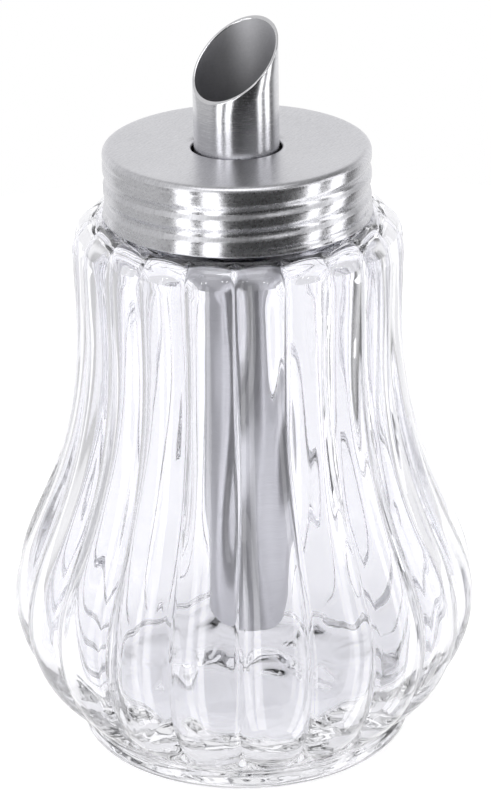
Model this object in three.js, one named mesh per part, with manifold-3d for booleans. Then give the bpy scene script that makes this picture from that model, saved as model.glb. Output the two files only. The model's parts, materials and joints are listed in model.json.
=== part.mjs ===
// Sugar dispenser: a fluted glass jar, a steel screw cap with a rolled thread, and a steel dosing
// tube that stands in a plastic seat under the cap. Millimetres, +Z up. The origin is the centre of
// the resting ring under the jar. One flute valley faces -Y.
import * as THREE from "three";
import { mergeVertices } from "three/addons/utils/BufferGeometryUtils.js";
import Module from "manifold-3d";

const wasm = await Module();
wasm.setup();

// Driving dimensions
const TURN = 2 * Math.PI;
const CLEARANCE = 0.3;

const FLUTES = 20;
const FACETS_PER_FLUTE = 4;
const FLUTE_DEPTH_BULB = 1.9;
const FLUTE_DEPTH_WAIST = 1.5;
const FLUTE_DEPTH_INSIDE = 2;
const FLUTES_FULL_ABOVE_FOOT = 5;
const FLUTES_START_ON_SHOULDER = 25.5;
const FLUTES_FULL_ON_SHOULDER = 29.5;
const FLUTES_INSIDE_FROM = 12.4;
const FLUTES_INSIDE_FULL_AT = 26;

const FOOT_RADIUS = 32.7;
const FOOT_HEIGHT = 4.4;
const FOOT_CREASE = 0.5;
const FOOT_ROUNDING = 2.1;
const RESTING_RING_INNER = 23;
const RESTING_RING_OUTER = 30.6;
const KICK_UP = 1.6;
const KICK_UP_SLOPE = 4;

const BULB_RADIUS = 45.5;
const BULB_HEIGHT = 29;
const WAIST_RADIUS = 31.2;
const WAIST_HEIGHT = 88;
const SHOULDER_RADIUS = 31.5;
const SHOULDER_HEIGHT = 106.4;
const SHOULDER_ACROSS = 5.5;
const SHOULDER_DROP = 6;
const SHOULDER_WALL = 1.6;
const SHOULDER_ROUNDING_INSIDE = 2.2;
const WALL = 2.6;
const FLOOR_HEIGHT = 8.4;
const FLOOR_RADIUS = 20;

// Control points of the jar's curves: how the outside and the inside swell between foot and waist
const UNDER_BULB = { radius: 39.6, height: 9.6 };
const BULB_SWELL_FROM = 18.5;
const BULB_SWELL_TO = 43;
const WAIST_BENDS_AT = 52;
const UNDER_BULB_INSIDE = { radius: 36, height: 8.6 };
const BULB_SWELL_FROM_INSIDE = 19;
const BULB_SWELL_TO_INSIDE = 43.5;
const WAIST_BENDS_AT_INSIDE = 53.5;

const NECK_RADIUS = 22.7;
const NECK_FILLET = 1;
const BORE_FLARE = 2.5;
const BORE_RADIUS = 20.2;
const RIM_HEIGHT = 116.8;
const RIM_ROUNDING = 0.6;

const PITCH = 4.2;
const THREAD_HEIGHT = 0.8;
const THREAD_WIDTH = 2.4;
const THREAD_FIRST = 108.2;
const THREAD_LAST = 115.8;

const CAP_BASE = 106.8;
const CAP_TOP = 120;
const CAP_SHEET = 0.5;
const CAP_BAND_RADIUS = 25.2;
const CAP_HEM_RADIUS = 25.5;
const CAP_HEM_HEIGHT = 3;
const CAP_EDGE_ROUNDING = 1.5;
const CAP_HOLE_RADIUS = 8.9;
const CAP_LIP_DEPTH = 0.9;
const CAP_FACETS = 48;
const SKIRT_STEPS = 11;
const GROOVE_DEPTH = 0.6;
const GROOVE_WIDTH = 3.2;
const GROOVE_AT_ZERO = 112.05;
const GROOVE_FADE = 1.1;

const SEAL_THICKNESS = 0.8;
const SEAT_FLANGE_THICKNESS = 1;
const SEAT_FLANGE_RADIUS = 22.6;
const SEAT_PLUG_RADIUS = 19.6;
const SEAT_PLUG_DEPTH = 3;
const SEAT_WALL = 1.3;
const SEAT_POCKET_RADIUS = 11.8;
const SEAT_POCKET_DEPTH = 3.6;
const SEAT_SLEEVE_LENGTH = 4;

const TUBE_RADIUS = 8;
const TUBE_WALL = 0.5;
const TUBE_BOTTOM = 21.5;
const TUBE_CUT_HEIGHT = 136.38;
const TUBE_CUT_ANGLE = THREE.MathUtils.degToRad(38.8);
const SPOUT_DIRECTION = THREE.MathUtils.degToRad(52.9);
const COLLAR_RADIUS = 11.3;
const COLLAR_THICKNESS = 1.2;
const ROUND_FACETS = 40;

// Heights that follow from the stack on the glass rim
const SEAL_BASE = RIM_HEIGHT + CLEARANCE;
const FLANGE_BASE = SEAL_BASE + SEAL_THICKNESS + CLEARANCE;
const FLANGE_TOP = FLANGE_BASE + SEAT_FLANGE_THICKNESS;
const POCKET_FLOOR = FLANGE_TOP - SEAT_POCKET_DEPTH;
const COLLAR_BASE = POCKET_FLOOR + CLEARANCE;

// Finishes
const finishes = {
  glass: { color: 0xeceef3, roughness: 0.04, metalness: 0, transparent: true, opacity: 0.35 },
  brushedSteel: { color: 0xc2c3c9, roughness: 0.36, metalness: 1 },
  polishedSteel: { color: 0xb4b5ba, roughness: 0.2, metalness: 1 },
  seal: { color: 0xe6e4df, roughness: 0.6, metalness: 0 },
  plastic: { color: 0x3a3a3c, roughness: 0.4, metalness: 0 },
};

const point = (r, z) => new THREE.Vector2(r, z);

function curve(from, control1, control2, to, steps) {
  return new THREE.CubicBezierCurve(from, control1, control2, to).getPoints(steps);
}

function corner(from, control, to, steps) {
  return new THREE.QuadraticBezierCurve(from, control, to).getPoints(steps);
}

function levels(radius, from, to, steps) {
  const height = (step) => THREE.MathUtils.lerp(from, to, step / steps);
  return Array.from({ length: steps + 1 }, (_, step) => point(radius, height(step)));
}

// A solid of revolution about Z whose radius may also change with the angle.
function revolve(outline, facets, radialShift = () => 0) {
  const geometry = new THREE.LatheGeometry(outline, facets);
  const position = geometry.getAttribute("position");
  for (let column = 0; column <= facets; column++) {
    const angle = ((column % facets) / facets) * TURN;
    outline.forEach(({ x: r, y: z }, row) => {
      const radius = r + radialShift(angle, z, row);
      const index = column * outline.length + row;
      position.setXYZ(index, radius * Math.cos(angle), radius * Math.sin(angle), z);
    });
  }
  geometry.computeVertexNormals();
  return geometry;
}

// How deep a helix of the thread's pitch is here: 1 on its line, 0 half a width away from it.
function helix(angle, z, heightAtZero, width) {
  const turns = (z - heightAtZero) / PITCH - angle / TURN;
  const distance = Math.abs(turns - Math.round(turns)) * PITCH;
  return distance < width / 2 ? 0.5 + 0.5 * Math.cos((TURN * distance) / width) : 0;
}

function fade(z, first, last, length) {
  const { smoothstep } = THREE.MathUtils;
  return smoothstep(z, first, first + length) * (1 - smoothstep(z, last - length, last));
}

function toSolid(geometry) {
  const bare = geometry.clone();
  bare.deleteAttribute("normal");
  bare.deleteAttribute("uv");
  const merged = mergeVertices(bare, 1e-4);
  return new wasm.Manifold(
    new wasm.Mesh({
      numProp: 3,
      vertProperties: merged.getAttribute("position").array,
      triVerts: new Uint32Array(merged.index.array),
    }),
  );
}

function toGeometry(solid) {
  const mesh = solid.getMesh();
  const geometry = new THREE.BufferGeometry();
  geometry.setAttribute("position", new THREE.BufferAttribute(mesh.vertProperties, mesh.numProp));
  geometry.setIndex(new THREE.BufferAttribute(mesh.triVerts, 1));
  geometry.computeVertexNormals();
  return geometry;
}

// The outside of the glass, over the crests of its flutes, from the middle of the base up to the rim.
function jarOutside() {
  return [
    point(0, KICK_UP),
    point(RESTING_RING_INNER - KICK_UP_SLOPE, KICK_UP),
    point(RESTING_RING_INNER, 0),
    ...corner(
      point(RESTING_RING_OUTER, 0),
      point(FOOT_RADIUS, 0),
      point(FOOT_RADIUS, FOOT_ROUNDING),
      2,
    ),
    point(FOOT_RADIUS, FOOT_HEIGHT - 2 * FOOT_CREASE),
    ...curve(
      point(FOOT_RADIUS - FOOT_CREASE, FOOT_HEIGHT),
      point(UNDER_BULB.radius, UNDER_BULB.height),
      point(BULB_RADIUS, BULB_SWELL_FROM),
      point(BULB_RADIUS, BULB_HEIGHT),
      5,
    ),
    ...curve(
      point(BULB_RADIUS, BULB_HEIGHT),
      point(BULB_RADIUS, BULB_SWELL_TO),
      point(WAIST_RADIUS, WAIST_BENDS_AT),
      point(WAIST_RADIUS, WAIST_HEIGHT),
      8,
    ).slice(1),
    ...corner(
      point(SHOULDER_RADIUS, SHOULDER_HEIGHT - SHOULDER_DROP),
      point(SHOULDER_RADIUS, SHOULDER_HEIGHT),
      point(SHOULDER_RADIUS - SHOULDER_ACROSS, SHOULDER_HEIGHT),
      3,
    ),
    point(NECK_RADIUS + NECK_FILLET, SHOULDER_HEIGHT),
    point(NECK_RADIUS, SHOULDER_HEIGHT + NECK_FILLET),
    ...levels(NECK_RADIUS, THREAD_FIRST, THREAD_LAST, 7),
    point(NECK_RADIUS, RIM_HEIGHT - RIM_ROUNDING),
    point(NECK_RADIUS - RIM_ROUNDING, RIM_HEIGHT),
  ];
}

// The inside of the glass, over the valleys of its flutes, from the rim down to the middle of the floor.
function jarInside() {
  const bulbInner = BULB_RADIUS - FLUTE_DEPTH_BULB - WALL;
  const waistInner = WAIST_RADIUS - FLUTE_DEPTH_WAIST - WALL;
  const under = SHOULDER_HEIGHT - SHOULDER_WALL;
  return [
    point(BORE_RADIUS + RIM_ROUNDING, RIM_HEIGHT),
    point(BORE_RADIUS, RIM_HEIGHT - RIM_ROUNDING),
    ...corner(
      point(BORE_RADIUS, SHOULDER_HEIGHT),
      point(BORE_RADIUS, under),
      point(BORE_RADIUS + BORE_FLARE, under),
      2,
    ),
    ...corner(
      point(waistInner - SHOULDER_ROUNDING_INSIDE, under),
      point(waistInner, under),
      point(waistInner, under - SHOULDER_ROUNDING_INSIDE),
      2,
    ),
    ...curve(
      point(waistInner, WAIST_HEIGHT),
      point(waistInner, WAIST_BENDS_AT_INSIDE),
      point(bulbInner, BULB_SWELL_TO_INSIDE),
      point(bulbInner, BULB_HEIGHT + 1),
      5,
    ),
    ...curve(
      point(bulbInner, BULB_HEIGHT + 1),
      point(bulbInner, BULB_SWELL_FROM_INSIDE),
      point(UNDER_BULB_INSIDE.radius, UNDER_BULB_INSIDE.height),
      point(FLOOR_RADIUS, FLOOR_HEIGHT),
      4,
    ).slice(1),
    point(0, FLOOR_HEIGHT),
  ];
}

// 0 on the crest of a rib, 1 in the sharp valley between two.
function valley(angle) {
  const acrossRib = ((angle + TURN / 4) * FLUTES) / TURN;
  return (2 * Math.abs(acrossRib - Math.floor(acrossRib) - 0.5)) ** 2;
}

// The flutes outside run from the crests inwards. They fade out at the foot and on the neck.
function fluteOutside(angle, r, z) {
  const { smoothstep, lerp } = THREE.MathUtils;
  const depth = lerp(FLUTE_DEPTH_WAIST, FLUTE_DEPTH_BULB, smoothstep(r, WAIST_RADIUS, BULB_RADIUS));
  const aboveFoot = smoothstep(z, FOOT_HEIGHT - FOOT_CREASE, FOOT_HEIGHT + FLUTES_FULL_ABOVE_FOOT);
  const offNeck = smoothstep(r, FLUTES_START_ON_SHOULDER, FLUTES_FULL_ON_SHOULDER);
  return -depth * aboveFoot * offNeck * valley(angle);
}

// The flutes inside run from the valleys outwards. They fade out at the floor and under the shoulder.
function fluteInside(angle, z) {
  const { smoothstep } = THREE.MathUtils;
  const underShoulder = SHOULDER_HEIGHT - SHOULDER_WALL - SHOULDER_ROUNDING_INSIDE;
  const aboveFloor = smoothstep(z, FLUTES_INSIDE_FROM, FLUTES_INSIDE_FULL_AT);
  return FLUTE_DEPTH_INSIDE * aboveFloor * (z > underShoulder ? 0 : 1) * (1 - valley(angle));
}

function glassJar() {
  const outside = jarOutside();
  const outline = [...outside, ...jarInside()];
  const shift = (angle, z, row) => {
    if (row >= outside.length) return fluteInside(angle, z);
    const thread = helix(angle, z, GROOVE_AT_ZERO + PITCH / 2, THREAD_WIDTH);
    const onNeck = fade(z, THREAD_FIRST, THREAD_LAST, 1);
    return fluteOutside(angle, outline[row].x, z) + THREAD_HEIGHT * thread * onNeck;
  };
  return revolve(outline, FLUTES * FACETS_PER_FLUTE, shift);
}

// The skirt's plain outline, before the thread is rolled into it: it widens towards its hem.
function skirtLine(from, to, inset) {
  const flare = (z) => Math.max(0, 1 - (z - CAP_BASE) / CAP_HEM_HEIGHT) ** 2;
  return levels(0, from, to, SKIRT_STEPS).map(({ y: z }) =>
    point(CAP_BAND_RADIUS + (CAP_HEM_RADIUS - CAP_BAND_RADIUS) * flare(z) - inset, z),
  );
}

function screwCap() {
  const edgeZ = CAP_TOP - CAP_EDGE_ROUNDING;
  const innerRounding = CAP_EDGE_ROUNDING - CAP_SHEET;
  const innerRadius = CAP_BAND_RADIUS - CAP_SHEET;
  const underside = CAP_TOP - CAP_SHEET;
  const outline = [
    ...skirtLine(CAP_BASE, edgeZ, 0),
    ...corner(
      point(CAP_BAND_RADIUS, edgeZ),
      point(CAP_BAND_RADIUS, CAP_TOP),
      point(CAP_BAND_RADIUS - CAP_EDGE_ROUNDING, CAP_TOP),
      3,
    ).slice(1),
    point(CAP_HOLE_RADIUS + CAP_LIP_DEPTH, CAP_TOP),
    point(CAP_HOLE_RADIUS, CAP_TOP - CAP_LIP_DEPTH),
    point(CAP_HOLE_RADIUS + CAP_SHEET, CAP_TOP - CAP_LIP_DEPTH - CAP_SHEET / 2),
    point(CAP_HOLE_RADIUS + CAP_LIP_DEPTH + CAP_SHEET / 2, underside),
    ...corner(
      point(innerRadius - innerRounding, underside),
      point(innerRadius, underside),
      point(innerRadius, edgeZ),
      2,
    ),
    ...skirtLine(edgeZ, CAP_BASE, CAP_SHEET).slice(1),
    point(CAP_HEM_RADIUS, CAP_BASE),
  ];
  const shift = (angle, z) => {
    const rolled = helix(angle, z, GROOVE_AT_ZERO, GROOVE_WIDTH);
    return -GROOVE_DEPTH * rolled * fade(z, CAP_BASE + 0.6, edgeZ, GROOVE_FADE);
  };
  return revolve(outline, CAP_FACETS, shift);
}

// A plain ring with a rectangular section.
function ring(inner, outer, base, top) {
  const outline = [point(inner, base), point(outer, base), point(outer, top), point(inner, top)];
  return revolve([...outline, outline[0]], ROUND_FACETS);
}

// Disc on the rim seal, with a plug that centres it in the neck, a pocket for the tube's collar
// and a sleeve that guides the tube.
function tubeSeat() {
  const sleeveInner = TUBE_RADIUS + CLEARANCE;
  const sleeveOuter = sleeveInner + SEAT_WALL;
  const pocketOuter = SEAT_POCKET_RADIUS + SEAT_WALL;
  const outline = [
    point(sleeveInner, POCKET_FLOOR - SEAT_SLEEVE_LENGTH),
    point(sleeveOuter, POCKET_FLOOR - SEAT_SLEEVE_LENGTH),
    point(sleeveOuter, POCKET_FLOOR - 2 * SEAT_WALL),
    point(pocketOuter, POCKET_FLOOR - SEAT_WALL),
    point(pocketOuter, FLANGE_BASE - CLEARANCE),
    point(SEAT_PLUG_RADIUS - SEAT_WALL, FLANGE_BASE - CLEARANCE),
    point(SEAT_PLUG_RADIUS - SEAT_WALL, FLANGE_BASE - SEAT_PLUG_DEPTH),
    point(SEAT_PLUG_RADIUS, FLANGE_BASE - SEAT_PLUG_DEPTH),
    point(SEAT_PLUG_RADIUS, FLANGE_BASE),
    point(SEAT_FLANGE_RADIUS, FLANGE_BASE),
    point(SEAT_FLANGE_RADIUS, FLANGE_TOP),
    point(SEAT_POCKET_RADIUS, FLANGE_TOP),
    point(SEAT_POCKET_RADIUS, POCKET_FLOOR),
    point(sleeveInner, POCKET_FLOOR),
  ];
  return revolve([...outline, outline[0]], ROUND_FACETS);
}

// A straight steel tube whose upper end is cut off at a slant to make the pouring lip.
function dosingTube() {
  const blankTop = TUBE_CUT_HEIGHT + 3 * TUBE_RADIUS;
  const blank = ring(TUBE_RADIUS - TUBE_WALL, TUBE_RADIUS, TUBE_BOTTOM, blankTop);
  const side = 10 * TUBE_RADIUS;
  const waste = new THREE.BoxGeometry(side, side, side);
  waste.translate(0, 0, side / 2);
  waste.rotateY(-TUBE_CUT_ANGLE);
  waste.rotateZ(SPOUT_DIRECTION);
  waste.translate(0, 0, TUBE_CUT_HEIGHT);
  return toGeometry(toSolid(blank).subtract(toSolid(waste)));
}

function part(name, geometry, finish) {
  const mesh = new THREE.Mesh(geometry, new THREE.MeshStandardMaterial(finishes[finish]));
  mesh.name = name;
  return mesh;
}

const sealInner = BORE_RADIUS + RIM_ROUNDING;
const collarInner = TUBE_RADIUS + CLEARANCE;

const lid = new THREE.Group();
lid.add(
  part("seal_ring", ring(sealInner, NECK_RADIUS, SEAL_BASE, SEAL_BASE + SEAL_THICKNESS), "seal"),
  part("tube_seat", tubeSeat(), "plastic"),
  part("screw_cap", screwCap(), "brushedSteel"),
  part("dosing_tube", dosingTube(), "polishedSteel"),
  part(
    "tube_collar",
    ring(collarInner, COLLAR_RADIUS, COLLAR_BASE, COLLAR_BASE + COLLAR_THICKNESS),
    "polishedSteel",
  ),
);

const dispenser = new THREE.Group();
dispenser.add(part("glass_jar", glassJar(), "glass"), lid);

export default dispenser;
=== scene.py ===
"""Looks of the sugar dispenser: fluted glass jar, brushed steel screw cap and dosing tube."""

import json
import math

import bpy
import numpy as np
from mathutils import Matrix, Vector


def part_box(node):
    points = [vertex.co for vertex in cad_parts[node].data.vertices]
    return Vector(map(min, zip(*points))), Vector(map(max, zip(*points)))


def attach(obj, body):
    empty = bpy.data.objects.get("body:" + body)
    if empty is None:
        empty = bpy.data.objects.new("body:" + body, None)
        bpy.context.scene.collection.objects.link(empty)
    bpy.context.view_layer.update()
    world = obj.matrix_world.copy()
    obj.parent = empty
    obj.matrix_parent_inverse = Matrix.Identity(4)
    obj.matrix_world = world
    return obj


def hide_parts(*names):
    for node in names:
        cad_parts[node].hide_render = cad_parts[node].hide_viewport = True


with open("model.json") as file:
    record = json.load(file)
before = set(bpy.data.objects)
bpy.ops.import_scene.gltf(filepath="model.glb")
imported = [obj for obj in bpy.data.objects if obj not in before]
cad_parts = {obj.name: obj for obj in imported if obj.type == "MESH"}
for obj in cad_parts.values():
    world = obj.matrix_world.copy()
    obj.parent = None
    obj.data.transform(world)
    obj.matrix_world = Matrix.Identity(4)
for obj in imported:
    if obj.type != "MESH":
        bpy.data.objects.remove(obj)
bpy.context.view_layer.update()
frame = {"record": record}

MM = 0.001
TURN = 2 * math.pi

# ---------------------------------------------------------------------------------------------
# Sizes, from the frame where it holds them
# ---------------------------------------------------------------------------------------------
JAR_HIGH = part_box("glass_jar")[1]
CAP_LOW, CAP_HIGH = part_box("screw_cap")
TUBE_LOW, TUBE_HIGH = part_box("dosing_tube")
SEAT_LOW, SEAT_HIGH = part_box("tube_seat")
SEAL_LOW, SEAL_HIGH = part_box("seal_ring")
COLLAR_LOW, COLLAR_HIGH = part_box("tube_collar")
COUPLING = frame["record"]["behaviour"]["couplings"][0]["ratio"]
PITCH = COUPLING * TURN  # the cap rises this much in one turn

FLUTES = 20
FLUTE_DEPTH_BULB = 1.9 * MM
FLUTE_DEPTH_WAIST = 1.5 * MM
SEAM_DEPTH = 0.2 * MM
SEAM_START = 0.93  # as a share of the way from a rib's crest to its valley
FLUTES_START_BELOW_FOOT = 0.5 * MM
FLUTES_FULL_ABOVE_FOOT = 5 * MM
FLUTES_START_FROM_NECK = 2.8 * MM
FLUTES_FULL_ON_SHOULDER = 29.5 * MM
# No crest lies on X. The nearest ones stand half a rib to its side, so their radius is more than
# the box's half width. The looks stay a little inside it.
BULB_RADIUS = JAR_HIGH.x / math.cos(math.pi / FLUTES) - 0.15 * MM
BULB_HEIGHT = 29 * MM
WAIST_RADIUS = 31.2 * MM
WAIST_HEIGHT = 88 * MM
FOOT_RADIUS = 32.7 * MM
FOOT_HEIGHT = 4.4 * MM
FOOT_NOTCH = 0.4 * MM
FOOT_ROUNDING_TOP = 2.1 * MM
RING_INNER_RADIUS = 23 * MM
RING_OUTER_RADIUS = 30.6 * MM
UNDERSIDE_HEIGHT = 1.6 * MM
SHOULDER_RADIUS = 31.5 * MM
SHOULDER_HEIGHT = 106.4 * MM
SHOULDER_ACROSS = 5.5 * MM
SHOULDER_DROP = 6 * MM
SHOULDER_WALL = 1.6 * MM
SHOULDER_CORNER_INSIDE = 0.9 * MM
LIP_DROP = 0.8 * MM  # the glass is this much thicker at the neck than at the wall
LIP_ROUNDING = 1.3 * MM
WALL = 2.6 * MM
FLOOR_HEIGHT = 8.4 * MM
FLOOR_RADIUS = 20 * MM
NECK_RADIUS = SEAL_HIGH.x
BORE_RADIUS = 20.2 * MM
RIM_HEIGHT = JAR_HIGH.z
RIM_ROUNDING = 0.6 * MM
NECK_CORNER = 1 * MM
THREAD_HEIGHT = 0.8 * MM
THREAD_WIDTH = 2.4 * MM
THREAD_FIRST = 108.2 * MM
THREAD_LAST = 115.8 * MM

CAP_SHEET = 0.5 * MM
CAP_HEM_RADIUS = CAP_HIGH.x
CAP_BAND_RADIUS = CAP_HEM_RADIUS - 0.3 * MM
CAP_HEM_HEIGHT = 3 * MM
CAP_EDGE_ROUNDING = 1.5 * MM
CAP_HOLE_RADIUS = 8.5 * MM
CAP_LIP_DEPTH = 0.9 * MM
CAP_LIP_ROUNDING = 1.4 * MM
CAP_LIP_ROUNDING_UNDER = 1.8 * MM
GROOVE_DEPTH = 0.6 * MM
GROOVE_WIDTH = 3.2 * MM
GROOVE_AT_ZERO = 112.05 * MM
GROOVE_FADE = 1.1 * MM

TUBE_RADIUS = TUBE_HIGH.x
TUBE_WALL = 0.5 * MM
TUBE_RIM_ROUNDING = 0.1 * MM
TUBE_CUT_ANGLE = math.radians(38.8)
SPOUT_DIRECTION = math.radians(52.9)
TUBE_CUT_HEIGHT = TUBE_HIGH.z - TUBE_RADIUS * math.tan(TUBE_CUT_ANGLE)
CLEARANCE = 0.3 * MM  # between the tube and what goes round it

# How finely the pieces are divided round the axis
JAR_COLUMNS = FLUTES * 26
CAP_COLUMNS = 240
TUBE_COLUMNS = 96
TUBE_ROWS = 40
RING_COLUMNS = 160
COLLAR_COLUMNS = 120


# ---------------------------------------------------------------------------------------------
# Outlines: lists of (radius, height). The bare pairs in arcs and sweeps are their control points
# ---------------------------------------------------------------------------------------------
def line(start, end, steps):
    t = np.linspace(0, 1, steps + 1)[:, None]
    return (1 - t) * np.array(start) + t * np.array(end)


def arc(start, control, end, steps):
    """A quadratic curve, for a rounded corner."""
    t = np.linspace(0, 1, steps + 1)[:, None]
    a, b, c = (np.array(p) for p in (start, control, end))
    return (1 - t) ** 2 * a + 2 * t * (1 - t) * b + t**2 * c


def sweep(start, control1, control2, end, steps):
    """A cubic curve."""
    t = np.linspace(0, 1, steps + 1)[:, None]
    a, b, c, d = (np.array(p) for p in (start, control1, control2, end))
    return (1 - t) ** 3 * a + 3 * t * (1 - t) ** 2 * b + 3 * t**2 * (1 - t) * c + t**3 * d


def joined(*stretches):
    """The stretches one after another, without the points that repeat."""
    points = np.vstack([np.atleast_2d(s) for s in stretches])
    step = np.linalg.norm(np.diff(points, axis=0), axis=1)
    return points[np.r_[True, step > 1e-7]]


def quarter(corner_radius, corner_height, across, drop, steps):
    """A quarter of an ellipse, from upright to level, that rounds off a corner."""
    t = np.linspace(0, TURN / 4, steps + 1)
    r = corner_radius - across * (1 - np.cos(t))
    return np.stack([r, corner_height - drop * (1 - np.sin(t))], axis=1)


def smoothstep(x, low, high):
    t = np.clip((x - low) / (high - low), 0, 1)
    return t * t * (3 - 2 * t)


def helix(angle, z, height_at_zero, width):
    """1 on the thread's line, falling to 0 half a width away from it."""
    turns = (z - height_at_zero) / PITCH - angle / TURN
    distance = np.abs(turns - np.round(turns)) * PITCH
    return np.where(distance < width / 2, 0.5 + 0.5 * np.cos(TURN * distance / width), 0)


def fade(z, first, last, length):
    return smoothstep(z, first, first + length) * (1 - smoothstep(z, last - length, last))


# ---------------------------------------------------------------------------------------------
# Meshes
# ---------------------------------------------------------------------------------------------
def new_object(name, vertices, faces, smooth=True):
    mesh = bpy.data.meshes.new(name)
    mesh.from_pydata([tuple(v) for v in vertices], [], faces)
    mesh.polygons.foreach_set("use_smooth", [smooth] * len(mesh.polygons))
    mesh.update()
    obj = bpy.data.objects.new(name, mesh)
    bpy.context.scene.collection.objects.link(obj)
    return obj


def revolve(name, radii, heights, closed=False):
    """A surface round Z. radii and heights are arrays of rows by columns; a row of radius 0 is one
    point. A closed outline joins its last row to its first."""
    rows, columns = radii.shape
    angles = np.arange(columns) / columns * TURN
    vertices, index = [], np.zeros((rows, columns), int)
    for row in range(rows):
        if not closed and np.all(radii[row] < 1e-9):
            index[row] = len(vertices)
            vertices.append((0, 0, heights[row, 0]))
            continue
        index[row] = len(vertices) + np.arange(columns)
        x, y = radii[row] * np.cos(angles), radii[row] * np.sin(angles)
        vertices.extend(zip(x, y, heights[row]))
    faces = []
    for row in range(rows if closed else rows - 1):
        low, high = index[row], index[(row + 1) % rows]
        for column in range(columns):
            after = (column + 1) % columns
            corners = [low[column], low[after], high[after], high[column]]
            faces.append(tuple(int(c) for c in dict.fromkeys(corners)))
    return new_object(name, vertices, faces)


def spread(outline, columns):
    """The outline's radii and heights repeated at every angle, and the angles."""
    angles = np.arange(columns) / columns * TURN
    radii = np.repeat(outline[:, :1], columns, axis=1)
    heights = np.repeat(outline[:, 1:], columns, axis=1)
    return radii, heights, np.repeat(angles[None], len(outline), axis=0)


def sharpen(obj, degrees):
    obj.data.set_sharp_from_angle(angle=math.radians(degrees))


# ---------------------------------------------------------------------------------------------
# Pieces
# ---------------------------------------------------------------------------------------------
def jar_outside():
    return joined(
        sweep(
            (0, UNDERSIDE_HEIGHT),
            (9 * MM, UNDERSIDE_HEIGHT),
            (13 * MM, 0.02 * MM),
            (RING_INNER_RADIUS, 0),
            18,
        ),
        line((RING_INNER_RADIUS, 0), (RING_OUTER_RADIUS, 0), 3),
        arc((RING_OUTER_RADIUS, 0), (FOOT_RADIUS, 0), (FOOT_RADIUS, FOOT_ROUNDING_TOP), 8),
        line((FOOT_RADIUS, FOOT_ROUNDING_TOP), (FOOT_RADIUS, FOOT_HEIGHT - 1 * MM), 2),
        arc(
            (FOOT_RADIUS, FOOT_HEIGHT - 1 * MM),
            (FOOT_RADIUS - FOOT_NOTCH, FOOT_HEIGHT),
            (FOOT_RADIUS, FOOT_HEIGHT + FOOT_NOTCH),
            6,
        ),
        sweep(
            (FOOT_RADIUS, FOOT_HEIGHT + FOOT_NOTCH),
            (39.6 * MM, 9.6 * MM),
            (BULB_RADIUS, 18.5 * MM),
            (BULB_RADIUS, BULB_HEIGHT),
            30,
        ),
        sweep(
            (BULB_RADIUS, BULB_HEIGHT),
            (BULB_RADIUS, 43 * MM),
            (WAIST_RADIUS, 52 * MM),
            (WAIST_RADIUS, WAIST_HEIGHT),
            56,
        ),
        line((WAIST_RADIUS, WAIST_HEIGHT), (SHOULDER_RADIUS, SHOULDER_HEIGHT - SHOULDER_DROP), 8),
        quarter(SHOULDER_RADIUS, SHOULDER_HEIGHT, SHOULDER_ACROSS, SHOULDER_DROP, 28),
        line(
            (SHOULDER_RADIUS - SHOULDER_ACROSS, SHOULDER_HEIGHT),
            (NECK_RADIUS + NECK_CORNER, SHOULDER_HEIGHT),
            8,
        ),
        arc(
            (NECK_RADIUS + NECK_CORNER, SHOULDER_HEIGHT),
            (NECK_RADIUS, SHOULDER_HEIGHT),
            (NECK_RADIUS, SHOULDER_HEIGHT + NECK_CORNER),
            4,
        ),
        line((NECK_RADIUS, THREAD_FIRST), (NECK_RADIUS, THREAD_LAST), 32),
        arc(
            (NECK_RADIUS, RIM_HEIGHT - RIM_ROUNDING),
            (NECK_RADIUS, RIM_HEIGHT),
            (NECK_RADIUS - RIM_ROUNDING, RIM_HEIGHT),
            4,
        ),
    )


def jar_inside():
    """The inside at the valleys of the flutes."""
    bulb_inner = BULB_RADIUS - FLUTE_DEPTH_BULB - WALL
    waist_inner = WAIST_RADIUS - FLUTE_DEPTH_WAIST - WALL
    under = SHOULDER_HEIGHT - SHOULDER_WALL
    lip = under - LIP_DROP
    corner = SHOULDER_CORNER_INSIDE
    return joined(
        arc(
            (BORE_RADIUS + RIM_ROUNDING, RIM_HEIGHT),
            (BORE_RADIUS, RIM_HEIGHT),
            (BORE_RADIUS, RIM_HEIGHT - RIM_ROUNDING),
            4,
        ),
        line((BORE_RADIUS, RIM_HEIGHT - RIM_ROUNDING), (BORE_RADIUS, lip + 1 * MM), 8),
        arc((BORE_RADIUS, lip + 1 * MM), (BORE_RADIUS, lip), (BORE_RADIUS + LIP_ROUNDING, lip), 8),
        line((BORE_RADIUS + LIP_ROUNDING, lip), (waist_inner - corner, under), 8),
        quarter(waist_inner, under, corner, corner, 12)[::-1],
        line((waist_inner, under - corner), (waist_inner, WAIST_HEIGHT), 24),
        sweep(
            (waist_inner, WAIST_HEIGHT),
            (waist_inner, 53.5 * MM),
            (bulb_inner, 43.5 * MM),
            (bulb_inner, BULB_HEIGHT + 1 * MM),
            44,
        ),
        sweep(
            (bulb_inner, BULB_HEIGHT + 1 * MM),
            (bulb_inner, 19 * MM),
            (36 * MM, 8.6 * MM),
            (FLOOR_RADIUS, FLOOR_HEIGHT),
            26,
        ),
        line((FLOOR_RADIUS, FLOOR_HEIGHT), (0, FLOOR_HEIGHT), 20),
    )


def across_ribs(angle):
    """Which rib this is, and how far from its middle: 0 on the crest, 1 in the valley."""
    across = (angle + TURN / 4) * FLUTES / TURN
    return np.floor(across) % FLUTES, 2 * np.abs(across - np.floor(across) - 0.5)


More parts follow.
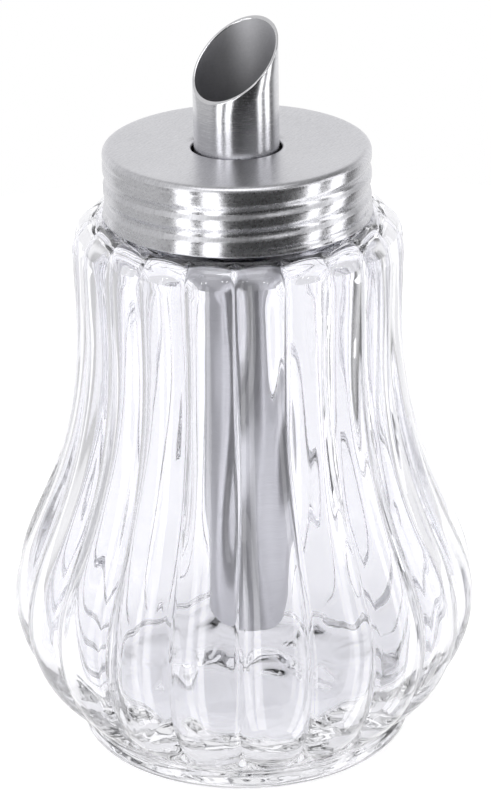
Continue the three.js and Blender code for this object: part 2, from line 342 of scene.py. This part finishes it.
def flute_shift(angle, r, z):
    """Rounded ribs with a sharp valley between each two."""
    _, off_centre = across_ribs(angle)
    deep = smoothstep(r, WAIST_RADIUS, BULB_RADIUS)
    depth = FLUTE_DEPTH_WAIST + (FLUTE_DEPTH_BULB - FLUTE_DEPTH_WAIST) * deep
    low, full = FOOT_HEIGHT - FLUTES_START_BELOW_FOOT, FOOT_HEIGHT + FLUTES_FULL_ABOVE_FOOT
    present = smoothstep(z, low, full)
    present = present * smoothstep(r, NECK_RADIUS + FLUTES_START_FROM_NECK, FLUTES_FULL_ON_SHOULDER)
    seam = SEAM_DEPTH * smoothstep(off_centre, SEAM_START, 1)
    return -(depth * off_centre**2 + seam) * present


# The inside of the ribs: how hollow they are, and the heights between which they begin and end
RIB_HOLLOW = 2.1 * MM
RIBS_BEGIN, RIBS_FULL = 12 * MM, 26 * MM
RIBS_FADE, RIBS_END = 101.5 * MM, 104 * MM

# Where the inside of a rib is hollower or fuller than the others: (rib, height, spread, change)
UNEVEN_RIBS = [
    (19, 57 * MM, 12 * MM, 1.0 * MM),
    (0, 70 * MM, 22 * MM, -0.9 * MM),
]


def inside_shift(angle, z):
    """The inside follows the ribs, but each one differently."""
    rib, off_centre = across_ribs(angle)
    hollow = RIB_HOLLOW + 0.35 * MM * np.sin(2.4 * rib + z / (14 * MM))
    hollow = hollow + 0.25 * MM * np.sin(4.1 * rib - z / (8 * MM))
    for which, height, spread_z, change in UNEVEN_RIBS:
        hollow = hollow + change * (rib == which) * np.exp(-(((z - height) / spread_z) ** 2))
    present = smoothstep(z, RIBS_BEGIN, RIBS_FULL) * (1 - smoothstep(z, RIBS_FADE, RIBS_END))
    return hollow * present * (1 - off_centre**2)


LENS_HEIGHT = 14 * MM
LENS_SPREAD = 5 * MM


def lenses(angle, r, z):
    """The ribs' thick lower ends, each a lens of its own strength."""
    rib, off_centre = across_ribs(angle)
    strength = 0.5 * MM + 0.9 * MM * np.sin(2.1 * rib + 0.7)
    reach = np.exp(-(((z - LENS_HEIGHT) / LENS_SPREAD) ** 2)) * smoothstep(r, 24 * MM, 33 * MM)
    return strength * reach * (1 - off_centre**2)


def hand_made(angle, z, size):
    """The slow unevenness of the inside of a blown jar. Each wave runs a whole number of times
    round it, so that it closes."""
    a = np.sin(3 * angle + z / (19 * MM)) + 0.7 * np.sin(7 * angle - z / (13 * MM) + 1.3)
    b = 0.5 * np.sin(12 * angle + z / (9 * MM) + 2.1) + 0.35 * np.sin(5 * angle - z / (6 * MM))
    streaks = np.sin(33 * angle + 2 * np.sin(z / (17 * MM)))
    fine = 0.6 * np.sin(53 * angle - 1.5 * np.sin(z / (11 * MM)) + 0.8)
    return size * ((a + b) / 2.55 + 0.6 * streaks * (1 + 0.5 * b) + 0.5 * fine * (1 + 0.4 * a))


RIPPLE_WIDTH = 6 * MM


def ripples(angle, r, size):
    """Lumps and swirls left in the thick bottom of the glass. The numbers only bend the pattern."""
    x, y = r * np.cos(angle) / RIPPLE_WIDTH, r * np.sin(angle) / RIPPLE_WIDTH
    bent = x + 0.8 * np.sin(0.9 * y + 0.6) + 0.4 * np.sin(1.7 * x + 2.1)
    across = y + 0.8 * np.sin(0.8 * x + 1.9) + 0.4 * np.sin(1.9 * y + 0.3)
    lumps = np.sin(1.25 * bent) * np.sin(1.35 * across)
    swirls = np.sin(2.6 * bent + 1.8 * np.sin(1.2 * across))
    return size * (0.75 * lumps + 0.25 * swirls)


WAVE_SIZE = 0.1 * MM
RIPPLES_ON_FLOOR = 0.8 * MM
RIPPLES_UNDERNEATH = 0.6 * MM
SHARP_ON_GLASS = 24  # degrees


def glass_jar():
    outside, inside = jar_outside(), jar_inside()
    radii, heights, angles = spread(outside, JAR_COLUMNS)
    on_neck = fade(heights, THREAD_FIRST, THREAD_LAST, 1 * MM)
    # The thread of the glass runs midway between the turns of the cap's groove.
    thread = helix(angles, heights, GROOVE_AT_ZERO + PITCH / 2, THREAD_WIDTH)
    radii = radii + flute_shift(angles, radii, heights) + THREAD_HEIGHT * thread * on_neck
    underneath = (heights < 2 * MM) * (1 - smoothstep(radii, 15 * MM, 22 * MM))
    underneath = underneath * smoothstep(radii, 0, 4 * MM)
    # No lump hangs below the ring the jar stands on.
    lumps = ripples(angles + 1, radii, RIPPLES_UNDERNEATH) * underneath
    heights = np.maximum(heights + lumps, 0)

    in_radii, in_heights, in_angles = spread(inside, JAR_COLUMNS)
    in_place = in_radii, in_heights
    wave = smoothstep(in_radii, 21 * MM, 26 * MM) * (1 - smoothstep(in_heights, 99 * MM, 102 * MM))
    in_radii = in_radii + hand_made(in_angles, in_heights, WAVE_SIZE) * wave
    in_radii = in_radii + inside_shift(in_angles, in_heights) + lenses(in_angles, *in_place)
    low_down = (1 - smoothstep(in_heights, 14 * MM, 26 * MM)) * smoothstep(in_radii, 0, 6 * MM)
    in_heights = in_heights + ripples(in_angles, in_radii, RIPPLES_ON_FLOOR) * low_down
    obj = revolve("jar_glass", np.vstack([radii, in_radii]), np.vstack([heights, in_heights]))
    sharpen(obj, SHARP_ON_GLASS)
    return obj


def skirt(low, high, inset, steps):
    """The skirt's side, which flares out to the hem."""
    z = np.linspace(low, high, steps + 1)
    flare = np.clip(1 - (z - CAP_LOW.z) / CAP_HEM_HEIGHT, 0, None) ** 2
    r = CAP_BAND_RADIUS + (CAP_HEM_RADIUS - CAP_BAND_RADIUS) * flare - inset
    return np.stack([r, z], axis=1)


def screw_cap():
    top = CAP_HIGH.z
    edge = top - CAP_EDGE_ROUNDING
    inner_radius = CAP_BAND_RADIUS - CAP_SHEET
    inner_rounding = CAP_EDGE_ROUNDING - CAP_SHEET
    underside = top - CAP_SHEET
    lip = CAP_HOLE_RADIUS
    outline = joined(
        arc(
            (CAP_HEM_RADIUS - CAP_SHEET, CAP_LOW.z + 0.15 * MM),
            (CAP_HEM_RADIUS - CAP_SHEET / 2, CAP_LOW.z - 0.1 * MM),
            (CAP_HEM_RADIUS, CAP_LOW.z + 0.15 * MM),
            6,
        ),
        skirt(CAP_LOW.z + 0.3 * MM, edge, 0, 72),
        arc(
            (CAP_BAND_RADIUS, edge),
            (CAP_BAND_RADIUS, top),
            (CAP_BAND_RADIUS - CAP_EDGE_ROUNDING, top),
            12,
        ),
        line((CAP_BAND_RADIUS - CAP_EDGE_ROUNDING, top), (lip + CAP_LIP_ROUNDING, top), 10),
        arc((lip + CAP_LIP_ROUNDING, top), (lip, top), (lip, top - CAP_LIP_DEPTH), 8),
        arc(
            (lip, top - CAP_LIP_DEPTH),
            (lip + CAP_SHEET / 2, top - CAP_LIP_DEPTH - 0.25 * MM),
            (lip + CAP_SHEET, top - CAP_LIP_DEPTH),
            4,
        ),
        arc(
            (lip + CAP_SHEET, top - CAP_LIP_DEPTH),
            (lip + CAP_SHEET, underside),
            (lip + CAP_LIP_ROUNDING_UNDER, underside),
            6,
        ),
        line((lip + CAP_LIP_ROUNDING_UNDER, underside), (inner_radius - inner_rounding, underside), 6),
        arc(
            (inner_radius - inner_rounding, underside),
            (inner_radius, underside),
            (inner_radius, edge),
            8,
        ),
        skirt(CAP_LOW.z + 0.3 * MM, edge, CAP_SHEET, 72)[::-1],
    )
    radii, heights, angles = spread(outline, CAP_COLUMNS)
    rolled = helix(angles, heights, GROOVE_AT_ZERO, GROOVE_WIDTH)
    on_skirt = fade(heights, CAP_LOW.z + 0.6 * MM, edge, GROOVE_FADE)
    return revolve("cap_steel", radii - GROOVE_DEPTH * rolled * on_skirt, heights, closed=True)


def cut_height(radius, angles):
    """Height of the slanted cut at this radius."""
    slope = math.tan(TUBE_CUT_ANGLE)
    return TUBE_CUT_HEIGHT + slope * radius * np.cos(angles - SPOUT_DIRECTION)


SHARP_ON_TUBE = 40  # degrees


def dosing_tube():
    angles = np.arange(TUBE_COLUMNS) / TUBE_COLUMNS * TURN
    outer, inner = TUBE_RADIUS, TUBE_RADIUS - TUBE_WALL
    rounding = TUBE_RIM_ROUNDING
    bottom = TUBE_LOW.z
    rows = []

    def add(radius, heights):
        rows.append((np.full(TUBE_COLUMNS, radius), np.broadcast_to(heights, TUBE_COLUMNS)))

    add(inner, bottom + rounding)
    add(inner + rounding, bottom)
    add(outer - rounding, bottom)
    add(outer, bottom + rounding)
    top_outer, top_inner = cut_height(outer, angles), cut_height(inner, angles)
    for t in np.linspace(0.02, 1, TUBE_ROWS):
        add(outer, bottom + (top_outer - 2 * rounding - bottom) * t)
    add(outer - 0.3 * rounding, top_outer - 0.9 * rounding)
    add(outer - rounding, cut_height(outer - rounding, angles))
    add(inner + rounding, cut_height(inner + rounding, angles))
    add(inner + 0.3 * rounding, top_inner - 0.6 * rounding)
    for t in np.linspace(1, 0.02, TUBE_ROWS):
        add(inner, bottom + (top_inner - 2 * rounding - bottom) * t)
    radii = np.array([r for r, _ in rows])
    heights = np.array([z for _, z in rows])
    obj = revolve("tube_steel", radii, heights, closed=True)
    sharpen(obj, SHARP_ON_TUBE)
    return obj


def seal_ring():
    low, high = SEAL_LOW.z, SEAL_HIGH.z
    inner, outer = BORE_RADIUS + RIM_ROUNDING, SEAL_HIGH.x
    middle = (low + high) / 2
    outline = joined(
        arc((outer - 0.3 * MM, low), (outer, low), (outer, middle), 5),
        arc((outer, middle), (outer, high), (outer - 0.3 * MM, high), 5),
        arc((outer - 0.8 * MM, high), ((inner + outer) / 2, high - 0.4 * MM), (inner + 0.8 * MM, high), 6),
        arc((inner + 0.3 * MM, high), (inner, high), (inner, middle), 5),
        arc((inner, middle), (inner, low), (inner + 0.3 * MM, low), 5),
    )
    radii, heights, _ = spread(outline, RING_COLUMNS)
    return revolve("seal_rubber", radii, heights, closed=True)


def rounded(corners, rounding, steps=3):
    """A closed outline through the corners, each rounded off."""
    corners = [np.array(c, float) for c in corners]
    stretches = []
    for before, corner, after in zip(corners[-1:] + corners[:-1], corners, corners[1:] + corners[:1]):
        back, ahead = before - corner, after - corner
        cut = min(rounding, 0.4 * np.linalg.norm(back), 0.4 * np.linalg.norm(ahead))
        start = corner + back / np.linalg.norm(back) * cut
        end = corner + ahead / np.linalg.norm(ahead) * cut
        stretches.append(arc(start, corner, end, steps))
    return joined(*stretches)


def tube_seat():
    inner = TUBE_RADIUS + CLEARANCE
    wall = 1.3 * MM
    low, top = SEAT_LOW.z, SEAT_HIGH.z
    flange_base = top - 1 * MM
    pocket_floor = top - 3.6 * MM
    pocket = 11.8 * MM
    plug = 19.6 * MM
    plate = flange_base - 0.3 * MM
    corners = [
        (inner, low),
        (inner + wall, low),
        (inner + wall, pocket_floor - 2 * wall),
        (pocket + wall, pocket_floor - wall),
        (pocket + wall, plate),
        (plug - wall, plate),
        (plug - wall, flange_base - 3 * MM),
        (plug, flange_base - 3 * MM),
        (plug, flange_base),
        (SEAT_HIGH.x, flange_base),
        (SEAT_HIGH.x, top),
        (pocket, top),
        (pocket, pocket_floor),
        (inner, pocket_floor),
    ]
    radii, heights, _ = spread(rounded(corners, 0.25 * MM), RING_COLUMNS)
    return revolve("seat_plastic", radii, heights, closed=True)


def tube_collar():
    low, high = COLLAR_LOW.z, COLLAR_HIGH.z
    inner, outer = TUBE_RADIUS + CLEARANCE, COLLAR_HIGH.x
    corners = [(inner, low), (outer, low), (outer, high), (inner, high)]
    radii, heights, _ = spread(rounded(corners, 0.3 * MM, 4), COLLAR_COLUMNS)
    return revolve("collar_steel", radii, heights, closed=True)


# ---------------------------------------------------------------------------------------------
# Materials
# ---------------------------------------------------------------------------------------------
class Nodes:
    """A material's node tree, with short calls to add to it."""

    def __init__(self, name):
        self.material = bpy.data.materials.new(name)
        self.material.use_nodes = True
        self.tree = self.material.node_tree
        self.shader = self.tree.nodes["Principled BSDF"]

    def set(self, **values):
        for socket, value in values.items():
            self.shader.inputs[socket.replace("_", " ")].default_value = value

    def node(self, kind, inputs=(), **settings):
        node = self.tree.nodes.new(kind)
        for setting, value in settings.items():
            setattr(node, setting, value)
        for socket, value in dict(inputs).items():
            if isinstance(value, bpy.types.NodeSocket):
                self.tree.links.new(value, node.inputs[socket])
            else:
                node.inputs[socket].default_value = value
        return node

    def link(self, value, socket):
        self.tree.links.new(value, self.shader.inputs[socket])

    def math(self, operation, *values):
        node = self.node("ShaderNodeMath", operation=operation)
        for i, value in enumerate(values):
            if isinstance(value, bpy.types.NodeSocket):
                self.tree.links.new(value, node.inputs[i])
            else:
                node.inputs[i].default_value = value
        return node.outputs[0]

    def place(self):
        """Object coordinates, in metres."""
        return self.node("ShaderNodeTexCoord").outputs["Object"]

    def noise(self, vector, scale, detail=3.0, rough=0.5):
        sockets = {"Vector": vector, "Scale": scale, "Detail": detail, "Roughness": rough}
        return self.node("ShaderNodeTexNoise", sockets).outputs["Fac"]

    def stretched(self, vector, scale):
        sockets = {"Vector": vector, "Scale": scale}
        return self.node("ShaderNodeMapping", sockets).outputs["Vector"]

    def between(self, value, low, high):
        """A value of 0 to 1 brought to the range from low to high."""
        sockets = {"Value": value, "To Min": low, "To Max": high}
        return self.node("ShaderNodeMapRange", sockets).outputs["Result"]

    def ramp(self, value, start, end, at_start, at_end):
        """A value that goes from at_start to at_end as the given one goes from start to end."""
        sockets = {
            "Value": value,
            "From Min": start,
            "From Max": end,
            "To Min": at_start,
            "To Max": at_end,
        }
        return self.node("ShaderNodeMapRange", sockets).outputs["Result"]

    def mixed(self, a, b, share):
        """A value made of a and a share of b."""
        return self.math("ADD", self.math("MULTIPLY", a, 1 - share), self.math("MULTIPLY", b, share))

    def tint(self, value, dark, light):
        ramp = self.node("ShaderNodeValToRGB", {"Fac": value})
        ramp.color_ramp.elements[0].color = (*dark, 1)
        ramp.color_ramp.elements[1].color = (*light, 1)
        return ramp.outputs["Color"]

    def bump(self, height, distance, strength=1.0):
        sockets = {"Height": height, "Distance": distance, "Strength": strength}
        self.link(self.node("ShaderNodeBump", sockets).outputs["Normal"], "Normal")

    def round_coordinates(self):
        """The angle in radians, the radius and the height, for marks that run round the axis."""
        xyz = self.node("ShaderNodeSeparateXYZ", {"Vector": self.place()})
        x, y, z = (xyz.outputs[i] for i in range(3))
        angle = self.math("ARCTAN2", y, x)
        squares = self.math("ADD", self.math("MULTIPLY", x, x), self.math("MULTIPLY", y, y))
        radius = self.math("SQRT", squares)
        return angle, radius, z

    def vector(self, x, y, z):
        return self.node("ShaderNodeCombineXYZ", {"X": x, "Y": y, "Z": z}).outputs[0]

    def round_vector(self, along, across):
        """A vector that moves slowly round the axis and fast across it."""
        angle, radius, z = self.round_coordinates()
        around_x = self.math("MULTIPLY", self.math("COSINE", angle), along)
        around_y = self.math("MULTIPLY", self.math("SINE", angle), along)
        height = self.math("MULTIPLY", self.math("ADD", z, radius), across)
        return self.vector(around_x, around_y, height)


# Noise scales, in lumps per metre
STEEL_GRAIN = 2300
CUT_GRAIN = 4000
BRUSH_LINES = (2.2, 9000)  # how fast the lines change round the axis, and across them

# Noise stays near its middle, so it is stretched past 0 and 1 before it picks a colour.
TINT_RANGE = (-0.9, 1.9)


def clear_glass():
    """Clear glass that is slightly wavy, with faint contours in its thick lower part."""
    n = Nodes("clear_glass")
    n.set(Base_Color=(0.90, 0.90, 0.925, 1), Roughness=0.0, IOR=1.5, Transmission_Weight=1.0)
    place = n.place()
    slow = n.noise(n.stretched(place, (1, 1, 0.45)), 95, 2.0)
    contours = n.math("SINE", n.math("MULTIPLY", n.noise(place, 60, 1.0), 60))
    height = n.node("ShaderNodeSeparateXYZ", {"Vector": place}).outputs[2]
    above_foot = n.ramp(height, 5 * MM, 9 * MM, 0.0, 0.3)
    low_down = n.math("MULTIPLY", above_foot, n.ramp(height, 14 * MM, 24 * MM, 1.0, 0.0))
    n.bump(n.math("ADD", slow, n.math("MULTIPLY", contours, low_down)), 0.25 * MM, 0.35)
    return n.material


def round_brushed_steel(name, light, dark, roughness, anisotropy=0.75, grain_share=0.5):
    """Steel with fine brush lines that run round the axis, and a fine grain."""
    n = Nodes(name)
    lines = n.noise(n.round_vector(*BRUSH_LINES), 1.0, 4.0, 0.65)
    grain = n.noise(n.place(), STEEL_GRAIN, 2.0)
    patches = n.noise(n.place(), 60, 2.0)
    fine = n.mixed(lines, grain, grain_share)
    n.set(Metallic=1.0, Anisotropic=anisotropy, Anisotropic_Rotation=0.25)
    n.link(n.tint(n.between(n.mixed(fine, patches, 0.2), *TINT_RANGE), dark, light), "Base Color")
    n.link(n.between(fine, roughness - 0.12, roughness + 0.12), "Roughness")
    tangent = n.node("ShaderNodeTangent", direction_type="RADIAL", axis="Z")
    n.link(tangent.outputs[0], "Tangent")
    n.bump(fine, 0.016 * MM, 0.4)
    return n.material


def straight_brushed_steel():
    """The cap's flat top, brushed in straight lines before the cap was pressed."""
    n = Nodes("straight_brushed_steel")
    turned = n.node(
        "ShaderNodeMapping",
        {"Vector": n.place(), "Rotation": (0, 0, math.radians(-60)), "Scale": (1, 1, 1)},
    ).outputs["Vector"]
    lines = n.noise(n.stretched(turned, (350, 7000, 350)), 1.0, 4.0, 0.65)
    grain = n.noise(n.place(), STEEL_GRAIN, 2.0)
    patches = n.noise(n.place(), 45, 2.0)
    fine = n.mixed(lines, grain, 0.35)
    n.set(Metallic=1.0)
    light, dark = (0.84, 0.84, 0.87), (0.5, 0.5, 0.53)
    n.link(n.tint(n.between(n.mixed(fine, patches, 0.15), *TINT_RANGE), dark, light), "Base Color")
    n.link(n.between(fine, 0.24, 0.4), "Roughness")
    n.bump(fine, 0.012 * MM, 0.4)
    return n.material


def cut_steel():
    """The saw-cut and polished edge of the tube."""
    n = Nodes("cut_steel")
    grain = n.noise(n.place(), CUT_GRAIN, 2.0)
    n.set(Metallic=1.0)
    n.link(n.tint(grain, (0.72, 0.72, 0.74), (0.88, 0.88, 0.9)), "Base Color")
    n.link(n.between(grain, 0.12, 0.24), "Roughness")
    return n.material


def seal_rubber():
    n = Nodes("seal_rubber")
    grain = n.noise(n.place(), 900, 3.0)
    n.set(Subsurface_Weight=0.15, Subsurface_Scale=0.002)
    n.link(n.tint(grain, (0.76, 0.75, 0.72), (0.84, 0.83, 0.8)), "Base Color")
    n.link(n.between(grain, 0.5, 0.66), "Roughness")
    n.bump(grain, 0.02 * MM, 0.4)
    return n.material


def seat_plastic():
    n = Nodes("seat_plastic")
    grain = n.noise(n.place(), 1400, 3.0)
    patches = n.noise(n.place(), 120, 2.0)
    # Painted shade: this near-black colour stands in for the shade in the gap under the cap's hem and
    # round the neck, rather than the plastic's own colour.
    n.link(n.tint(patches, (0.035, 0.035, 0.037), (0.05, 0.05, 0.053)), "Base Color")
    n.link(n.between(grain, 0.3, 0.44), "Roughness")
    n.bump(grain, 0.015 * MM, 0.3)
    return n.material


def floor_paper():
    n = Nodes("floor_paper")
    grain = n.noise(n.place(), 500, 3.0)
    n.set(Specular_IOR_Level=0.1)
    n.set(Emission_Color=(1, 1, 1, 1), Emission_Strength=0.62)
    n.link(n.tint(grain, (0.88, 0.88, 0.885), (0.9, 0.9, 0.905)), "Base Color")
    n.link(n.between(grain, 0.8, 0.9), "Roughness")
    return n.material


def give(obj, *materials):
    obj.data.materials.clear()
    for material in materials:
        obj.data.materials.append(material)


def assign(obj, slot_of):
    """Gives each face the material that slot_of(centre, normal) picks."""
    for face in obj.data.polygons:
        face.material_index = slot_of(face.center, face.normal)


# ---------------------------------------------------------------------------------------------
# Stage: camera, floor, light
# ---------------------------------------------------------------------------------------------
CAMERA_AZIMUTH = math.radians(1.5)
CAMERA_ELEVATION = math.radians(23.57)
CAMERA_DISTANCE = 579.4 * MM
CAMERA_AIM = Vector((0.85 * MM, 0, 67.92 * MM))
CAMERA_ROLL = math.radians(-0.98)
CAMERA_LENS = 135
CAMERA_SENSOR = 36
FLOOR_EDGE = 190 * MM
FLOOR_IN_FRONT = 55 * MM  # little enough that the steel in the jar doesn't mirror the floor
FLOOR_CORNERS = 96
LIGHTS_AIM = Vector((0, 0, 0.09))


def make_camera():
    data = bpy.data.cameras.new("camera")
    data.lens, data.sensor_width = CAMERA_LENS, CAMERA_SENSOR
    data.clip_start, data.clip_end = 0.01, 20
    obj = bpy.data.objects.new("camera", data)
    bpy.context.scene.collection.objects.link(obj)
    turn = Matrix.Rotation(CAMERA_AZIMUTH, 3, "Z")
    back = Vector((0, -math.cos(CAMERA_ELEVATION), math.sin(CAMERA_ELEVATION)))
    up = Vector((0, math.sin(CAMERA_ELEVATION), math.cos(CAMERA_ELEVATION)))
    right = Vector((1, 0, 0))
    c, s = math.cos(CAMERA_ROLL), math.sin(CAMERA_ROLL)
    axes = (c * right + s * up, -s * right + c * up, back)
    rotation = turn @ Matrix(axes).transposed()
    place = turn @ (CAMERA_AIM + CAMERA_DISTANCE * back)
    obj.matrix_world = Matrix.Translation(place) @ rotation.to_4x4()
    bpy.context.scene.camera = obj


def make_floor():
    """A small round table top that other surfaces don't mirror."""
    angles = np.arange(FLOOR_CORNERS) / FLOOR_CORNERS * TURN
    rim = [(FLOOR_EDGE * math.cos(a), FLOOR_EDGE * math.sin(a), 0) for a in angles]
    floor = new_object("floor", rim, [tuple(range(FLOOR_CORNERS))], smooth=False)
    floor.location = (0, FLOOR_EDGE - FLOOR_IN_FRONT, -0.05 * MM)
    floor.visible_glossy = False
    give(floor, floor_paper())


def softbox(name, azimuth, elevation, distance, width, height, radiance):
    """An area light that faces the object. Azimuth, from +X, and elevation are in degrees."""
    data = bpy.data.lights.new(name, "AREA")
    data.shape, data.size, data.size_y = "RECTANGLE", width, height
    data.energy = radiance * math.pi * width * height
    obj = bpy.data.objects.new(name, data)
    bpy.context.scene.collection.objects.link(obj)
    a, e = math.radians(azimuth), math.radians(elevation)
    away = Vector((math.cos(a) * math.cos(e), math.sin(a) * math.cos(e), math.sin(e)))
    obj.location = LIGHTS_AIM + distance * away
    obj.rotation_mode = "QUATERNION"
    obj.rotation_quaternion = away.to_track_quat("Z", "Y")


STRIP_ELEVATION, STRIP_HEIGHT = -16, 2.1
LAMP_WIDTH, LAMP_HEIGHT, LAMP_RADIANCE = 0.06, 0.05, 16
LIGHTS_DISTANCE = 0.9


def make_lights():
    """Four upright strips, four small lamps and one large lamp above."""
    for side, azimuth, width, radiance in (
        ("left_outer", -134.5, 0.2, 2.6),
        ("left_inner", -110.5, 0.23, 2.6),
        ("right_inner", -22, 0.18, 2.3),
        ("right_outer", 3.5, 0.24, 2.3),
    ):
        softbox(
            "strip_" + side,
            azimuth,
            STRIP_ELEVATION,
            LIGHTS_DISTANCE,
            width,
            STRIP_HEIGHT,
            radiance,
        )
    for side, azimuth, elevation in (
        ("left_low", -134, 38),
        ("left_high", -120, 44),
        ("right_low", -46, 38),
        ("right_high", -60, 44),
    ):
        softbox(
            "lamp_" + side,
            azimuth,
            elevation,
            LIGHTS_DISTANCE,
            LAMP_WIDTH,
            LAMP_HEIGHT,
            LAMP_RADIANCE,
        )
    softbox("top", -90, 76, 1.1, 0.8, 0.8, 1.6)


# Brightness of the room's sides. Rays through the glass see a lighter front than mirrored rays.
LEFT, RIGHT, BEHIND, BEHIND_AND_HIGH = 0.66, 0.2, 1.0, 0.25
FRONT, FRONT_THROUGH_GLASS = 0.1, 0.4
BACKDROP = 1.0  # what the camera sees directly


def make_world():
    """White behind the object, grey at its sides and dark on the camera's side."""
    world = bpy.data.worlds.new("studio")
    bpy.context.scene.world = world
    world.use_nodes = True
    tree = world.node_tree
    background = tree.nodes["Background"]
    place = tree.nodes.new("ShaderNodeTexCoord")
    xyz = tree.nodes.new("ShaderNodeSeparateXYZ")
    tree.links.new(place.outputs["Generated"], xyz.inputs[0])

    def ramp(axis, low, high, to_low, to_high):
        node = tree.nodes.new("ShaderNodeMapRange")
        node.interpolation_type = "SMOOTHSTEP"
        sockets = ("From Min", "From Max", "To Min", "To Max")
        for socket, setting in zip(sockets, (low, high, to_low, to_high)):
            node.inputs[socket].default_value = setting
        tree.links.new(xyz.outputs[axis], node.inputs[0])
        return node.outputs[0]

    def ramp_of(value, to_low, to_high):
        node = tree.nodes.new("ShaderNodeMapRange")
        node.inputs["To Min"].default_value = to_low
        node.inputs["To Max"].default_value = to_high
        tree.links.new(value, node.inputs["Value"])
        return node.outputs[0]

    def combine(operation, a, b):
        node = tree.nodes.new("ShaderNodeMath")
        node.operation = operation
        tree.links.new(a, node.inputs[0])
        tree.links.new(b, node.inputs[1])
        return node.outputs[0]

    seen = tree.nodes.new("ShaderNodeLightPath")
    sides = ramp("X", -0.6, 0.7, LEFT, RIGHT)
    behind = ramp("Y", 0.25, 0.7, 0.0, BEHIND)
    not_high = ramp("Z", 0.45, 0.6, 1.0, BEHIND_AND_HIGH)
    lit = combine("MAXIMUM", sides, combine("MULTIPLY", behind, not_high))
    camera_side = combine(
        "MAXIMUM",
        ramp("Y", -0.8, -0.3, FRONT, 1.0),
        ramp_of(seen.outputs["Is Transmission Ray"], 0.0, FRONT_THROUGH_GLASS),
    )
    room = combine("MULTIPLY", lit, camera_side)
    mix = tree.nodes.new("ShaderNodeMix")
    tree.links.new(seen.outputs["Is Camera Ray"], mix.inputs["Factor"])
    tree.links.new(room, mix.inputs["A"])
    mix.inputs["B"].default_value = BACKDROP
    tree.links.new(mix.outputs["Result"], background.inputs["Strength"])
    background.inputs["Color"].default_value = (1, 1, 1, 1)


def render_settings():
    scene = bpy.context.scene
    scene.view_settings.view_transform = "Standard"
    scene.view_settings.look = "None"
    scene.cycles.max_bounces = 32
    scene.cycles.transmission_bounces = 28
    scene.cycles.glossy_bounces = 20
    scene.cycles.sample_clamp_indirect = 8
    scene.cycles.blur_glossy = 0.3


# ---------------------------------------------------------------------------------------------
# Assembly
# ---------------------------------------------------------------------------------------------
def add(piece, node, body, slot):
    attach(piece, body)
    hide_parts(node)


# The material slots of the cap and of the tube, and where one ends and the next begins
SKIRT, TOP = range(2)
OUTSIDE, CUT, DRAWN, INSIDE = range(4)
TOP_FACES_UP = 0.35  # a face of the cap belongs to its top if its normal rises more than this
CUT_DEPTH = 0.2 * MM


def cap_part(centre, normal):
    return TOP if normal.z > TOP_FACES_UP else SKIRT


def tube_part(centre, normal):
    angle = math.atan2(centre.y, centre.x)
    if centre.z > cut_height(math.hypot(centre.x, centre.y), angle) - CUT_DEPTH:
        return CUT
    if normal.x * centre.x + normal.y * centre.y < 0:
        return INSIDE
    return OUTSIDE if centre.z > SEAT_LOW.z else DRAWN


def build():
    glass = glass_jar()
    give(glass, clear_glass())
    add(glass, "glass_jar", "jar", "glass")

    cap = screw_cap()
    give(
        cap,
        round_brushed_steel("skirt_steel", (0.8, 0.8, 0.83), (0.48, 0.48, 0.505), 0.28, 0.91),
        straight_brushed_steel(),
    )
    assign(cap, cap_part)
    add(cap, "screw_cap", "cap", "brushed_steel")

    tube = dosing_tube()
    give(
        tube,
        round_brushed_steel("tube_outside_steel", (0.8, 0.8, 0.825), (0.52, 0.52, 0.545), 0.25, 0.8, 0.2),
        cut_steel(),
        round_brushed_steel("tube_drawn_steel", (0.72, 0.72, 0.745), (0.54, 0.54, 0.565), 0.42, 0.6, 0.2),
        round_brushed_steel("tube_inside_steel", (0.54, 0.54, 0.56), (0.42, 0.42, 0.44), 0.6, 0.0),
    )
    assign(tube, tube_part)
    add(tube, "dosing_tube", "tube", "tube_steel")

    collar = tube_collar()
    give(collar, round_brushed_steel("collar_steel", (0.66, 0.66, 0.68), (0.5, 0.5, 0.52), 0.3))
    add(collar, "tube_collar", "tube", "tube_steel")

    seal = seal_ring()
    give(seal, seal_rubber())
    add(seal, "seal_ring", "seal", "seal")

    seat = tube_seat()
    give(seat, seat_plastic())
    add(seat, "tube_seat", "seat", "seat_plastic")


make_camera()
make_floor()
make_lights()
make_world()
render_settings()
build()
